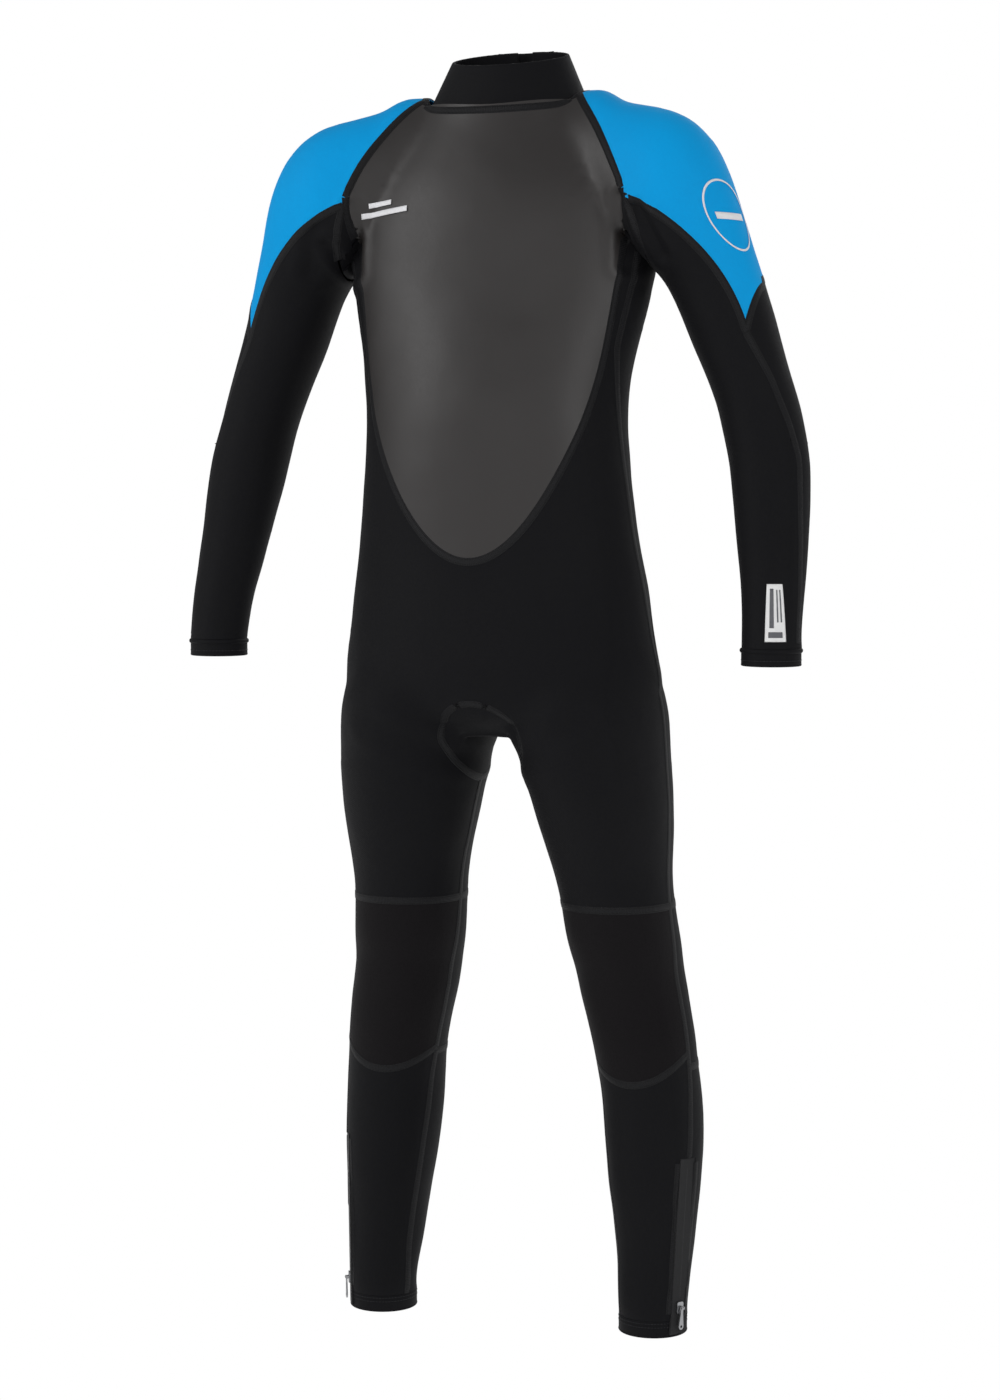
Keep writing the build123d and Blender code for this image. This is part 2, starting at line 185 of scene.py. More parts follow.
# Skin
# The stretched neoprene before it is cut into panels: the outer faces of all the soft nodes, welded where
# they meet, with small holes filled and long edges split.  The blends at the shoulders and hips are eased,
# and creases are pressed in at the armpits and the groin.
KINDS = ("panel", "gusset", "sleeve", "knee_pad", "zip_tape", "zip_coil")
soft_names = [name for name in sorted(nodes) if any(kind in name for kind in KINDS)]
elbow = Vector(joints["elbow_left"]["pos_m"])
knee = Vector(joints["knee_left"]["pos_m"])
sides = {"left": 1, "right": -1}
crotch_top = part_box("crotch_gusset")[1].z
armpit = low.z + 0.97
sleeve_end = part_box("forearm_sleeve_left")[0].z
leg_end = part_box("shin_panel_left")[0].z
wrist_centre = sum(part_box("wrist_cuff_left"), Vector()) / 2
ankle_centre = sum(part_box("ankle_cuff_left"), Vector()) / 2
collar_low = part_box("collar")[0]
trunk_line = [
    Vector((0, 0, crotch_top + 0.03)),
    Vector((0, 0, armpit)),
    Vector((0, 0.02, collar_low.z - 0.03)),
]
arm_line = [
    Vector((0.05, 0.01, armpit + 0.12)),
    Vector((0.1, 0, armpit + 0.105)),
    Vector((0.16, -0.012, armpit + 0.085)),
    Vector((0.199, -0.001, armpit)),
    elbow,
    Vector((0.252, -0.005, elbow.z - 0.06)),
    Vector((wrist_centre.x, wrist_centre.y, sleeve_end)),
]
leg_line = [
    Vector((0.078, 0, crotch_top + 0.04)),
    knee,
    Vector((ankle_centre.x, ankle_centre.y, leg_end)),
]
# Where the legs leave the hips: how far up and down from the gusset's top, and how far out.
HIP_RISE = 0.06
HIP_REACH = 0.17
# How near the faces of two neighbouring panels lie to each other, and to a node's own facets.
TOUCHING = 0.00015
SAME_POINT = 0.00002
# How far a face has to look away from the middle of its limb, as a cosine, to be on the outside.
OUTWARD = 0.3
OUTWARD_AT_TRUNK = 0.6


def nearest_on(line, point, side):
    """The nearest point of a line of points, which is mirrored for the right side."""
    best = None
    for a, b in zip(line, line[1:]):
        a, b = Vector((side * a.x, a.y, a.z)), Vector((side * b.x, b.y, b.z))
        share = max(0.0, min(1.0, (point - a).dot(b - a) / (b - a).length_squared))
        found = a.lerp(b, share)
        if best is None or (point - found).length < (point - best).length:
            best = found
    return best


def core_of(name, point):
    """The middle of the trunk, arm or leg beside a point of a node."""
    side = 1 if point.x > 0 else -1
    if "sleeve" in name or "shoulder" in name:
        return nearest_on(arm_line, point, side)
    if point.z < crotch_top - 0.03:
        return nearest_on(leg_line, point, side)
    return nearest_on(trunk_line, point, side)


def welded(name):
    """A node's shape with its facets joined."""
    shape = bmesh.new()
    shape.from_mesh(nodes[name].data)
    bmesh.ops.remove_doubles(shape, verts=shape.verts, dist=SAME_POINT)
    return shape


shapes = [welded(name) for name in soft_names]
all_points, all_faces, all_owner = [], [], []
for number, shape in enumerate(shapes):
    start = len(all_points)
    all_points += [vert.co.copy() for vert in shape.verts]
    all_faces += [[start + vert.index for vert in face.verts] for face in shape.faces]
    all_owner += [number] * len(shape.faces)
all_tree = BVHTree.FromPolygons(all_points, all_faces)


def is_outer(number, face):
    """Whether a face is on the outside of the suit, and not on the inside or between two panels."""
    centre = face.calc_center_median()
    on_shoulders = centre.z > armpit - 0.03
    if on_shoulders and abs(face.normal.y) > 0.5 and abs(centre.y) > 0.015:
        if face.normal.y * centre.y < 0:
            return False
    elif abs(centre.z - crotch_top) < HIP_RISE and abs(centre.x) < HIP_REACH:
        side = 1 if centre.x > 0 else -1
        off_leg = face.normal.dot((centre - nearest_on(leg_line, centre, side)).normalized())
        off_trunk = face.normal.dot((centre - nearest_on(trunk_line, centre, side)).normalized())
        if off_leg < OUTWARD and off_trunk < OUTWARD_AT_TRUNK:
            return False
    elif face.normal.dot((centre - core_of(soft_names[number], centre)).normalized()) < OUTWARD:
        return False
    for _, normal, index, _ in all_tree.find_nearest_range(centre, TOUCHING):
        if all_owner[index] != number and normal.dot(face.normal) < -0.8:
            return False
    return True


outer_points, outer_faces, outer_node, rims = [], [], [], {}
for number, (name, shape) in enumerate(zip(soft_names, shapes)):
    outer = {face.index for face in shape.faces if is_outer(number, face)}
    start = len(outer_points)
    outer_points += [vert.co.copy() for vert in shape.verts]
    for face in shape.faces:
        if face.index in outer:
            outer_faces.append([start + vert.index for vert in face.verts])
            outer_node.append(number)
    rim_edges = [edge for edge in shape.edges if sum(face.index in outer for face in edge.link_faces) == 1]
    rims[name] = [(a.index, b.index, a.co.copy(), b.co.copy()) for a, b in (edge.verts for edge in rim_edges)]
    shape.free()


def zip_frame(run, slider, centre):
    """The axes of a zip, across, outwards and upwards, from its slide axis and where its slider is."""
    upward = Vector(joints[run]["axis"])
    upward = upward if upward.z > 0 else -upward
    place = sum(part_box(slider), Vector()) / 2
    outward = place - centre
    outward = (outward - upward * outward.dot(upward)).normalized()
    across = outward.cross(upward)
    return Matrix((across, outward, upward)).transposed().to_4x4()


def extent(axes, *names):
    """The lowest and highest corners of some nodes, measured along a zip's axes."""
    turned = [axes.inverted() @ vert.co for name in names for vert in nodes[name].data.vertices]
    return (Vector([min(p[i] for p in turned) for i in range(3)]),
            Vector([max(p[i] for p in turned) for i in range(3)]))


def block(name, axes, lows, highs):
    """A box set square to a zip's axes."""
    bpy.ops.mesh.primitive_cube_add(size=1)
    made = bpy.context.object
    made.name = name
    size = highs - lows
    made.matrix_world = axes @ Matrix.Translation((lows + highs) / 2) @ Matrix.Diagonal((*size, 1))
    bpy.ops.object.transform_apply(location=True, rotation=True, scale=True)
    return made


zips = {"back": zip_frame("back_zip_run", "back_zip_slider", Vector((0, 0, 0)))}
for side, sign in sides.items():
    foot = Vector((sign * ankle_centre.x, ankle_centre.y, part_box("ankle_zip_slider_left")[0].z))
    zips[side] = zip_frame("ankle_zip_run_" + side, "ankle_zip_slider_" + side, foot)


def apply_modifier(obj, kind, **settings):
    """Add a modifier with its settings and apply it."""
    modifier = obj.modifiers.new(kind.lower(), kind)
    for name, value in settings.items():
        setattr(modifier, name, value)
    bpy.context.view_layer.objects.active = obj
    bpy.ops.object.modifier_apply(modifier=modifier.name)


WELD_REACH = 0.0002
SLIVER = 0.00005
LARGEST_HOLE = 8
EDGE_LIMITS = (0.012, 0.006)
EASING_ROUNDS = 14
skin = bpy.data.objects.new("skin", bpy.data.meshes.new("skin"))
scene.collection.objects.link(skin)
shape = bmesh.new()
node_layer = shape.faces.layers.int.new("node")
corners = [shape.verts.new(point) for point in outer_points]
for face, number in zip(outer_faces, outer_node):
    shape.faces.new([corners[i] for i in face])[node_layer] = number
bmesh.ops.delete(shape, geom=[vert for vert in shape.verts if not vert.link_faces], context="VERTS")
bmesh.ops.remove_doubles(shape, verts=shape.verts, dist=WELD_REACH)
bmesh.ops.dissolve_degenerate(shape, edges=shape.edges, dist=SLIVER)
gaps = [edge for edge in shape.edges if edge.is_boundary]
for face in bmesh.ops.holes_fill(shape, edges=gaps, sides=LARGEST_HOLE)["faces"]:
    round_it = [other for edge in face.edges for other in edge.link_faces if other is not face]
    if round_it:
        face[node_layer] = round_it[0][node_layer]
    face.normal_update()
    if round_it and face.normal.dot(round_it[0].normal) < 0:
        face.normal_flip()
for longest in EDGE_LIMITS:
    long_edges = [edge for edge in shape.edges if edge.calc_length() > longest]
    bmesh.ops.subdivide_edges(shape, edges=long_edges, cuts=1)
    bmesh.ops.triangulate(shape, faces=[face for face in shape.faces if len(face.verts) > 3])
# The blends where the arms leave the shoulders and the legs leave the hips are eased, the open edges are
# kept.
inner_verts = [vert for vert in shape.verts if not vert.is_boundary]
eased = [vert for vert in inner_verts
         if (vert.co.z > armpit - 0.04 and abs(vert.co.x) < 0.2)
         or (abs(vert.co.z - crotch_top) < HIP_RISE and abs(vert.co.x) < HIP_REACH)]
for verts, rounds in ((inner_verts, 2), (eased, EASING_ROUNDS)):
    for _ in range(rounds):
        bmesh.ops.smooth_vert(shape, verts=verts, factor=0.5,
                              use_axis_x=True, use_axis_y=True, use_axis_z=True)
shape.to_mesh(skin.data)
shape.free()

# Creases, as the ends of each line on the front (out from the centre, up), its depth, its half width and its
# sides.  The cloth rises a little on both sides of a crease, and swells and sinks slowly all over.
RIDGE_SHARE = 0.6
RIDGE_PLACE = 2.2
SWELL_HEIGHT = 0.0009
CREASES = [
    ((0.127, armpit + 0.07), (0.128, armpit + 0.012), 0.0028, 0.005, (1, -1)),
    ((0.145, armpit + 0.062), (0.166, armpit + 0.02), 0.0026, 0.005, (1,)),
    ((0.152, armpit + 0.036), (0.139, armpit + 0.006), 0.0026, 0.0045, (-1,)),
    ((0.158, armpit + 0.05), (0.172, armpit + 0.012), 0.0018, 0.006, (-1,)),
    ((0.100, crotch_top - 0.02), (0.03, crotch_top - 0.052), 0.0016, 0.009, (1, -1)),
]
spots = np.array([vert.co for vert in skin.data.vertices])
facing = np.array([vert.normal for vert in skin.data.vertices])
lift = np.zeros(len(spots))


def gap_to_line(a, b):
    """How far each front point is from a line seen from the front."""
    a, b = np.array(a), np.array(b)
    flat = spots[:, (0, 2)]
    share = np.clip(((flat - a) @ (b - a)) / ((b - a) @ (b - a)), 0, 1)
    return np.linalg.norm(flat - (a + share[:, None] * (b - a)), axis=1)


front = facing[:, 1] < 0.35
for start, end, deep, wide, crease_sides in CREASES:
    for side in crease_sides:
        gap = gap_to_line((side * start[0], start[1]), (side * end[0], end[1]))
        ridge = RIDGE_SHARE * np.exp(-((gap - RIDGE_PLACE * wide) / wide) ** 2)
        lift += front * deep * (ridge - np.exp(-(gap / wide) ** 2))
swell = np.array([noise.noise(Vector(p) * 14) + 0.5 * noise.noise(Vector(p) * 31) for p in spots])
spots += facing * (lift + SWELL_HEIGHT * swell)[:, None]
skin.data.vertices.foreach_set("co", spots.ravel())
skin.data.update()
facing = np.array([vert.normal for vert in skin.data.vertices])
skin_faces = [list(face.vertices) for face in skin.data.polygons]
skin_tree = BVHTree.FromPolygons([Vector(p) for p in spots], skin_faces)
kind_of = np.zeros(len(skin_faces), int)
skin.data.attributes["node"].data.foreach_get("value", kind_of)
bpy.data.objects.remove(skin)


def finish_piece(obj, name, material, slot, *stands_for):
    """Name a finished piece, give it its material and hide the plain nodes that it stands for."""
    obj.name = name
    obj.data.name = name
    obj.data.materials.clear()
    obj.data.materials.append(material)
    if stands_for:
        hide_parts(*stands_for)
    return obj


# Materials of the panels
# Nylon jersey on neoprene in black and blue, the smooth embossed rubber of the chest, and the knitted knee
# patch.  Each is a real knit or emboss at its own pitch, over slow changes of tone and shine.
MM = 0.001
SLOW_SCALE = 9.0
FINE_SCALE = 420.0
FINE_SHARE = 0.45
SHINE_SPREAD = 0.06
WAVE_SCALE = 0.3183
SLOW_DEPTH = 2 * MM


def surface(name, colour, dark, roughness, sheen, pitch, depth, kind, specular=0.35):
    """A cloth or rubber with a fine relief, an uneven tone and an uneven shine."""
    material, shade = shader(name)
    place = add(material, "ShaderNodeTexCoord").outputs["Object"]
    slow = add(material, "ShaderNodeTexNoise", [("Vector", place), ("Scale", SLOW_SCALE), ("Detail", 4.0)])
    fine = add(material, "ShaderNodeTexNoise", [("Vector", place), ("Scale", FINE_SCALE), ("Detail", 3.0)])
    both = add(material, "ShaderNodeMix",
               [("Factor", FINE_SHARE), ("A", slow.outputs["Fac"]), ("B", fine.outputs["Fac"])])
    tone = add(material, "ShaderNodeMix",
               [("Factor", both.outputs[0]), (6, linear(dark)), (7, linear(colour))], data_type="RGBA")
    shine = add(material, "ShaderNodeMapRange",
                [("Value", both.outputs[0]), ("From Min", 0.3), ("From Max", 0.7),
                 ("To Min", roughness - SHINE_SPREAD), ("To Max", roughness + SHINE_SPREAD)])
    sized = add(material, "ShaderNodeMapping", [("Vector", place), ("Scale", (1 / pitch,) * 3)])
    if kind == "cells":
        relief = add(material, "ShaderNodeTexVoronoi",
                     [("Vector", sized.outputs[0]), ("Scale", 1.0), ("Randomness", 0.25)],
                     feature="DISTANCE_TO_EDGE")
    else:
        relief = add(material, "ShaderNodeTexWave",
                     [("Vector", sized.outputs[0]), ("Scale", WAVE_SCALE), ("Distortion", 1.5),
                      ("Detail", 1.0)],
                     wave_type="BANDS", bands_direction="DIAGONAL")
    bump = add(material, "ShaderNodeBump",
               [("Height", relief.outputs[0]), ("Strength", 0.5), ("Distance", depth)])
    soft = add(material, "ShaderNodeBump",
               [("Height", slow.outputs["Fac"]), ("Strength", 0.35), ("Distance", SLOW_DEPTH),
                ("Normal", bump.outputs[0])])
    material.node_tree.links.new(tone.outputs[2], shade.inputs["Base Color"])
    material.node_tree.links.new(shine.outputs[0], shade.inputs["Roughness"])
    material.node_tree.links.new(soft.outputs[0], shade.inputs["Normal"])
    shade.inputs["Specular IOR Level"].default_value = specular
    shade.inputs["Sheen Weight"].default_value = sheen
    shade.inputs["Sheen Roughness"].default_value = 0.45
    return material


# Knitted nylon: matt, with fine slanting rows, and only a trace of sheen.
black_jersey = surface("nylon_jersey_black", "#0c0c10", "#060609", 0.72, 0.015, 0.7 * MM, 0.12 * MM, "rows",
                       specular=0.16)
blue_jersey = surface("nylon_jersey_blue", "#00a6ea", "#0094da", 0.7, 0.0, 0.7 * MM, 0.1 * MM, "rows",
                      specular=0.12)
# Moulded rubber skin: a soft grey gloss over a fine emboss.
smooth_skin = surface("smooth_skin_rubber", "#2a2726", "#232020", 0.5, 0.0, 1.1 * MM, 0.1 * MM, "cells",
                      specular=0.5)
# Hard-wearing knee knit: a coarser, drier mesh.
knee_fabric = surface("knee_mesh_fabric", "#131013", "#090709", 0.78, 0.03, 2.2 * MM, 0.35 * MM, "cells",
                      specular=0.16)
LOOKS = {"smooth_skin": smooth_skin, "black_jersey": black_jersey, "blue_jersey": blue_jersey,
         "knee_fabric": knee_fabric}


def travel(obj, kind, side):
    """Fix a piece to the body or the bend that its place on the suit belongs to; a piece of the kind leg or
    arm only has its placement baked into its shape and is fixed to nothing.
    """
    if kind == "leg":
        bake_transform(obj)
    elif kind == "arm":
        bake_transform(obj)
    elif kind == "trunk":
        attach(obj, "suit")
    else:
        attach(obj, kind + "_" + side)


def panel_look(name):
    """What a panel is faced with."""
    if "shoulder" in name:
        return "blue_jersey"
    if name == "chest_panel":
        return "smooth_skin"
    return "knee_fabric" if "knee_pad" in name else "black_jersey"


def panel_travel(name):
    """The body or the bend that a panel belongs to."""
    if "knee" in name or "shin_panel" in name:
        return "leg"
    if "elbow" in name:
        return "arm"
    if "forearm" in name:
        return "forearm"
    return "shin" if "calf" in name else "trunk"


NEOPRENE = 0.002
face_array = [np.array(face) for face in skin_faces]
for number, name in enumerate(soft_names):
    if "zip" in name:
        continue
    mine = [face_array[i] for i in np.nonzero(kind_of == number)[0]]
    used = np.unique(np.concatenate(mine))
    place = {int(old): new for new, old in enumerate(used)}
    count = len(used)
    top_faces = [[place[int(i)] for i in face] for face in mine]
    steps = dict.fromkeys((a, b) for face in top_faces for a, b in zip(face, face[1:] + face[:1]))
    rim = [(a, b) for a, b in steps if (b, a) not in steps]
    under = [[i + count for i in reversed(face)] for face in top_faces]
    wall = [[b, a, a + count, b + count] for a, b in rim]
    outside = spots[used]
    normals = facing[used]
    data = bpy.data.meshes.new(name + "_panel")
    data.from_pydata(np.concatenate([outside, outside - normals * NEOPRENE]).tolist(), [],
                     top_faces + under + wall)
    data.shade_smooth()
    data.update()
    corner_vert = np.zeros(len(data.loops), int)
    data.loops.foreach_get("vertex_index", corner_vert)
    corner_normal = np.concatenate([normals, -normals])[corner_vert]
    for polygon in list(data.polygons)[len(top_faces) + len(under):]:
        corner_normal[polygon.loop_start:polygon.loop_start + polygon.loop_total] = polygon.normal
    data.normals_split_custom_set(corner_normal.tolist())
    piece = bpy.data.objects.new(name + "_piece", data)
    scene.collection.objects.link(piece)
    look = panel_look(name)
    finish_piece(piece, name + "_cloth", LOOKS[look], look, name)
    travel(piece, panel_travel(name), name.rsplit("_", 1)[-1])

# Seams
# Flatlock seams: a flat band of cover thread 7 mm wide with a needle row near each side, laid over each
# line where two panels meet.  The lines are the edges that two neighbours share, evened out and pressed
# onto the skin.  The long seam of each sleeve, the rows beside the zips and the one round the neck are laid
# on it by their place.
RIM_STEP = 1 * MM
SEAM_REACH = 1.2 * MM
SHORTEST_SEAM = 0.012
SEAM_STEP = 0.003
rim_spots, rim_owner = [], []
for number, name in enumerate(soft_names):
    for _, _, a, b in rims[name]:
        steps = max(1, int((b - a).length / RIM_STEP))
        rim_spots += [a.lerp(b, i / steps) for i in range(steps + 1)]
        rim_owner += [number] * (steps + 1)
rim_tree = KDTree(len(rim_spots))
for i, spot in enumerate(rim_spots):
    rim_tree.insert(spot, i)
rim_tree.balance()
SLEEVES = {"upper_sleeve", "elbow_sleeve", "forearm_sleeve"}


def neighbour_of(number, point):
    """The other panel whose edge runs beside this point."""
    near = rim_tree.find_range(point, SEAM_REACH)
    found = [(gap, rim_owner[i]) for _, i, gap in near if rim_owner[i] != number]
    return min(found)[1] if found else None


def chains_of(edges):
    """Edges joined end to end into lines of points."""
    ends = {}
    for a, b, pa, pb in edges:
        ends.setdefault(a, []).append(b)
        ends.setdefault(b, []).append(a)
    place = {a: pa for a, b, pa, pb in edges} | {b: pb for a, b, pa, pb in edges}
    left = {frozenset((a, b)) for a, b, _, _ in edges if a != b}
    lines = []
    while left:
        start = next((a for edge in left for a in edge if len(ends[a]) != 2), None)
        if start is None:
            start = next(iter(min(left, key=lambda edge: sorted(edge))))
        line = [start]
        while True:
            step = [b for b in ends[line[-1]] if frozenset((line[-1], b)) in left]
            if not step:
                break
            left.discard(frozenset((line[-1], step[0])))
            line.append(step[0])
        if len(line) < 2:
            break
        lines.append([place[i] for i in line])
    return lines


def evened(line, gap):
    """A line at even steps, with its kinks taken out but its sharp corners kept."""
    sharp = 0.6
    reach = [0.0]
    for a, b in zip(line, line[1:]):
        reach.append(reach[-1] + (b - a).length)
    count = max(2, round(reach[-1] / gap))
    even, at = [], 0
    for i in range(count + 1):
        want = reach[-1] * i / count
        while at < len(line) - 2 and reach[at + 1] < want:
            at += 1
        span = reach[at + 1] - reach[at]
        even.append(line[at].lerp(line[at + 1], (want - reach[at]) / span if span > 0 else 0))
    for _ in range(4):
        old = list(even)
        for i in range(1, len(old) - 1):
            if (old[i] - old[i - 1]).angle(old[i + 1] - old[i], 0) < sharp:
                even[i] = (old[i - 1] + 2 * old[i] + old[i + 1]) / 4
    return even


def band_mesh(lines, offsets, heights):
    """Bands laid on the skin along lines, with their length and width in metres as the UV."""
    points, faces, along = [], [], []
    wide = len(offsets)
    for line in lines:
        travelled = 0.0
        first = len(points)
        for i, point in enumerate(line):
            ahead = (line[min(i + 1, len(line) - 1)] - line[max(i - 1, 0)]).normalized()
            spot, normal, _, _ = skin_tree.find_nearest(point)
            aside = ahead.cross(normal).normalized()
            travelled += (point - line[i - 1]).length if i else 0
            for off, height in zip(offsets, heights):
                spot, normal, _, _ = skin_tree.find_nearest(point + aside * off)
                points.append(spot + normal * height)
                along.append((travelled, off))
        for i in range(len(line) - 1):
            for j in range(wide - 1):
                a = first + i * wide + j
                faces.append([a, a + 1, a + wide + 1, a + wide])
    return points, faces, along


def band(name, lines, offsets, heights, material, slot=""):
    """A band object with smooth shading, its faces turned outwards."""
    points, faces, along = band_mesh(lines, offsets, heights)
    data = bpy.data.meshes.new(name)
    data.from_pydata(points, [], faces)
    laid = data.uv_layers.new(name="length")
    for loop in data.loops:
        laid.data[loop.index].uv = along[loop.vertex_index]
    data.shade_smooth()
    made = bpy.data.objects.new(name, data)
    scene.collection.objects.link(made)
    hit = skin_tree.find_nearest(data.polygons[0].center)
    if hit[1].dot(data.polygons[0].normal) < 0:
        data.flip_normals()
    return finish_piece(made, name, material, slot)


# The thread: two needle rows 4.4 mm apart, and the cover threads that cross between them every 1.6 mm.
NEEDLE_ROW = 2.2 * MM
ROW_WIDTH = 0.5 * MM
THREAD_PITCH = 1.6 * MM
seam_thread, shade = shader("flatlock_thread")
uv = add(seam_thread, "ShaderNodeUVMap", uv_map="length")
split = add(seam_thread, "ShaderNodeSeparateXYZ", [("Vector", uv.outputs[0])])
cross_turn = add(seam_thread, "ShaderNodeMath", [(0, split.outputs["X"]), (1, 2 * math.pi / THREAD_PITCH)],
                 operation="MULTIPLY")
cross_wave = add(seam_thread, "ShaderNodeMath", [(0, cross_turn.outputs[0])], operation="SINE")
half = add(seam_thread, "ShaderNodeMath", [(0, split.outputs["Y"])], operation="ABSOLUTE")
row_gap = add(seam_thread, "ShaderNodeMath", [(0, half.outputs[0]), (1, NEEDLE_ROW)], operation="SUBTRACT")
row_far = add(seam_thread, "ShaderNodeMath", [(0, row_gap.outputs[0])], operation="ABSOLUTE")
row = add(seam_thread, "ShaderNodeMapRange",
          [("Value", row_far.outputs[0]), ("From Min", 0.0), ("From Max", ROW_WIDTH), ("To Min", 1.0),
           ("To Max", 0.0)])
wave_lift = add(seam_thread, "ShaderNodeMath", [(0, cross_wave.outputs[0]), (1, 0.35)], operation="MULTIPLY")
relief = add(seam_thread, "ShaderNodeMath", [(0, wave_lift.outputs[0]), (1, row.outputs[0])],
             operation="SUBTRACT")
tone = add(seam_thread, "ShaderNodeMix",
           [("Factor", row.outputs[0]), (6, linear("#101013")), (7, linear("#050506"))], data_type="RGBA")
thread_bump = add(seam_thread, "ShaderNodeBump",
                  [("Height", relief.outputs[0]), ("Strength", 0.8), ("Distance", 0.4 * MM)])
seam_thread.node_tree.links.new(tone.outputs[2], shade.inputs["Base Color"])
seam_thread.node_tree.links.new(thread_bump.outputs[0], shade.inputs["Normal"])
shade.inputs["Roughness"].default_value = 0.6
shade.inputs["Specular IOR Level"].default_value = 0.22

# A seam that is below ARM_TOP and outside ARM_INSIDE belongs to an arm, and one that is more than LEG_DROP
# under the top of the gusset belongs to a leg.
ARM_INSIDE = 0.175
ARM_TOP = 0.955
LEG_DROP = 0.09
NO_LENGTH = 1e-7
seam_groups = {}
for number, name in enumerate(soft_names):
    family = name.rsplit("_", 1)[0]
    shared = {}
    for edge in rims[name]:
        if (edge[3] - edge[2]).length < NO_LENGTH:
            continue
        other = neighbour_of(number, (edge[2] + edge[3]) / 2)
        if other is not None and other > number:
            shared.setdefault(other, []).append(edge)
    for other, edges in shared.items():
        other_family = soft_names[other].rsplit("_", 1)[0]
        if {family, other_family} <= SLEEVES or "zip" in name or "zip" in soft_names[other]:
            continue
        for line in chains_of(edges):
            length = sum((b - a).length for a, b in zip(line, line[1:]))
            if length < SHORTEST_SEAM:
                continue
            centre = sum(line, Vector()) / len(line)
            side = "left" if centre.x > 0 else "right"
            if abs(centre.x) > ARM_INSIDE and centre.z < ARM_TOP:
                where = ("arm", side)
            elif centre.z < crotch_top - LEG_DROP:
                where = ("leg", side)
            else:
                where = ("trunk", "middle")
            seam_groups.setdefault(where, []).append(evened(line, SEAM_STEP))

# The sleeve's long seam, as height and turn in degrees from the front towards the outside.
PROBE_REACH = 0.08
SLEEVE_SEAM = [(0.921, 30), (0.88, 44), (0.84, 55), (0.809, 61), (0.739, 68), (0.667, 72), (0.649, 75)]


def arm_centre(height, side):
    """The middle of the arm at a height."""
    for a, b in zip(arm_line, arm_line[1:]):
        if b.z <= height <= a.z:
            spot = a.lerp(b, (a.z - height) / (a.z - b.z))
            return Vector((side * spot.x, spot.y, height))
    return Vector((side * arm_line[-1].x, arm_line[-1].y, height))


for side, sign in sides.items():
    sleeve_line = []
    for height, turn in SLEEVE_SEAM:
        middle = arm_centre(height, sign)
        way = Vector((sign * math.sin(math.radians(turn)), -math.cos(math.radians(turn)), 0))
        hit = skin_tree.ray_cast(middle + way * PROBE_REACH, -way)
        if hit[0] is not None:
            sleeve_line.append(hit[0])
    seam_groups.setdefault(("arm", side), []).append(evened(sleeve_line, SEAM_STEP))

# The rows that hold the zips: how far beside the tape, how far from its ends, and in how many steps.
ZIP_TAPES = {
    "back": ["back_zip_tape_left", "back_zip_tape_right"],
    "left": ["ankle_zip_tape_left"],
    "right": ["ankle_zip_tape_right"],
}
ROW_BESIDE = 0.002
ROW_END = 0.004
ROW_STEPS = 60
for where, axes in zips.items():
    tape_low, tape_high = extent(axes, *ZIP_TAPES[where])
    row_length = tape_high.z - tape_low.z - 2 * ROW_END
    group = ("trunk", "middle") if where == "back" else ("leg", where)
    for x in (tape_low.x - ROW_BESIDE, tape_high.x + ROW_BESIDE):
        places = [axes @ Vector((x, tape_high.y, tape_low.z + ROW_END + row_length * i / ROW_STEPS))
                  for i in range(ROW_STEPS + 1)]
        zip_line = [skin_tree.find_nearest(point)[0] for point in places if point.z > leg_end + ROW_END]
        seam_groups.setdefault(group, []).append(evened(zip_line, SEAM_STEP))

# The row round the foot of the collar, an oval that leans forward and is open at the back zip.
NECK_HALF_WIDTH = 0.078
NECK_HALF_DEPTH = 0.063
NECK_LEAN = math.radians(10)
NECK_START = math.radians(98)
NECK_SWEEP = math.radians(344)
NECK_STEPS = 120
NECK_DROP = 0.002
neck_middle = Vector((0, 0.015, collar_low.z + 0.0101))
neck_line = []
for i in range(NECK_STEPS + 1):
    turn = NECK_START + NECK_SWEEP * i / NECK_STEPS
    deep = NECK_HALF_DEPTH * math.sin(turn)
    spot = neck_middle + Vector((NECK_HALF_WIDTH * math.cos(turn), deep * math.cos(NECK_LEAN),
                                 deep * math.sin(NECK_LEAN) - NECK_DROP))
    neck_line.append(skin_tree.find_nearest(spot)[0])
seam_groups[("trunk", "middle")].append(evened(neck_line, SEAM_STEP))

# The band's cross-section, from side to side: its edges are sunk in the cloth and its middle stands proud.
BAND_OFFSETS = [x * MM for x in (-3.7, -3.3, -2.2, 0, 2.2, 3.3, 3.7)]
BAND_HEIGHTS = [x * MM for x in (-0.25, 0.35, 0.42, 0.55, 0.42, 0.35, -0.25)]
for (kind, side), lines in seam_groups.items():
    seams = band("flatlock_seams_" + kind + "_" + side, lines, BAND_OFFSETS, BAND_HEIGHTS, seam_thread)
    travel(seams, kind, side)

# Collar, tab and hems
# Soft edges of doubled jersey.  The collar, tab and back flap are the nodes' shapes with their faces made
# even and their edges rounded, and the tab is drawn up so that it covers the split in the collar.  Each
# wrist cuff is a narrow band between two rolled rings, and each ankle hem is a band over a rolled ring,
# with two stitch rows.
TAB_STRETCH = 0.44


def softened(name, node, size, rounds, material, slot):
    """A node's shape remade with even faces and rounded edges."""
    made = bpy.data.objects.new(name, nodes[node].data.copy())
    scene.collection.objects.link(made)
    apply_modifier(made, "WELD", merge_threshold=SAME_POINT)
    apply_modifier(made, "REMESH", mode="VOXEL", voxel_size=size * 1)
    apply_modifier(made, "SMOOTH", factor=0.5, iterations=rounds)
    made.data.shade_smooth()
    return finish_piece(made, name, material, slot, node)


